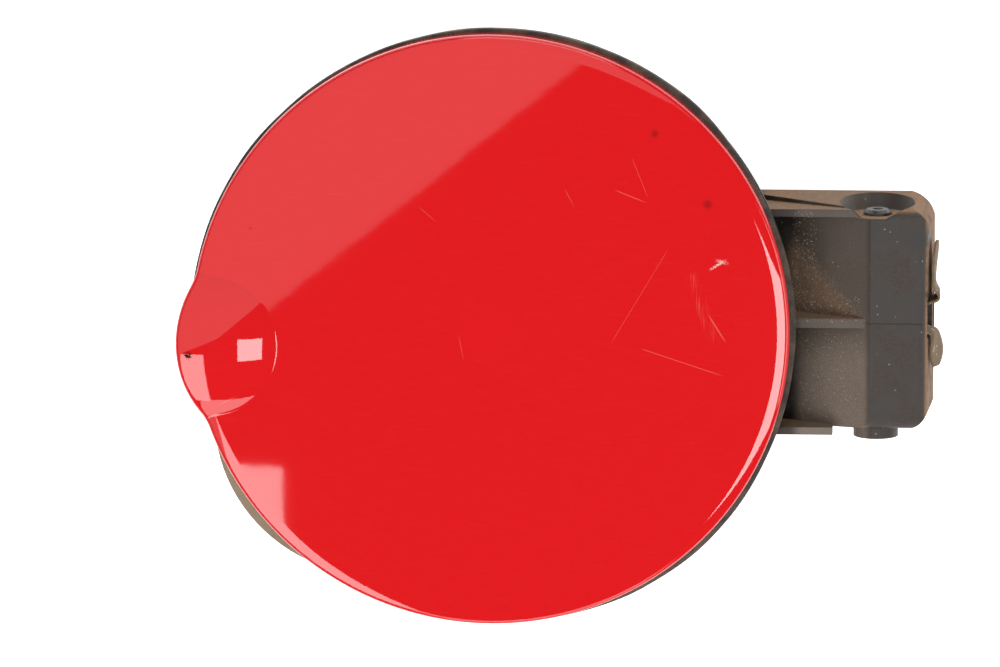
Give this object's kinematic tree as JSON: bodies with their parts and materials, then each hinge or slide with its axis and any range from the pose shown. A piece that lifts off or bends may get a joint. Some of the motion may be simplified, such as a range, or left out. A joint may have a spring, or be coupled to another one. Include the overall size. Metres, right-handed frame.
{
  "type": "car fuel door",
  "caption": "Round car fuel door with a raised finger lip, on a swan-neck arm hinged in a side box of its moulded bowl, with rim seal, neck gaiter and leaf spring.",
  "frame": {"origin": "centre of the bowl's flange, on the underside that seats on the body panel", "axes": "+X from the bowl's centre to the hinge box, +Y up along the car's side, +Z out of the car, the way the door faces"},
  "size_m": [0.2188, 0.1729, 0.0657],
  "materials": {
    "moulded_plastic": "dusty, moulded texture",
    "seal_rubber": "weathered",
    "red_paint": "gloss, lightly scratched",
    "arm_plastic": "satin",
    "axle_plastic": "satin",
    "rusty_spring_steel": "rusted and dusty",
    "buffer_rubber": "matte",
    "zinc_steel": "dull zinc"
  },
  "bodies": {
    "bowl": {"housing": "moulded_plastic", "rim_seal": "seal_rubber", "neck_gaiter": "seal_rubber", "hinge_axle": "axle_plastic", "leaf_spring": "rusty_spring_steel", "stop_buffer_upper": "buffer_rubber", "stop_buffer_lower": "buffer_rubber", "lock_pin_grommet": "buffer_rubber"},
    "door": {"door_panel": "red_paint", "hinge_arm": "arm_plastic", "striker": "arm_plastic", "door_screws": "zinc_steel"}
  },
  "joints": [
    {"name": "door_hinge", "type": "hinge", "parent": "bowl", "child": "door", "pos_m": [0.10875, 0.0025, -0.0106], "axis": [0, 1, 0], "range_deg": [0, 85]}
  ]
}
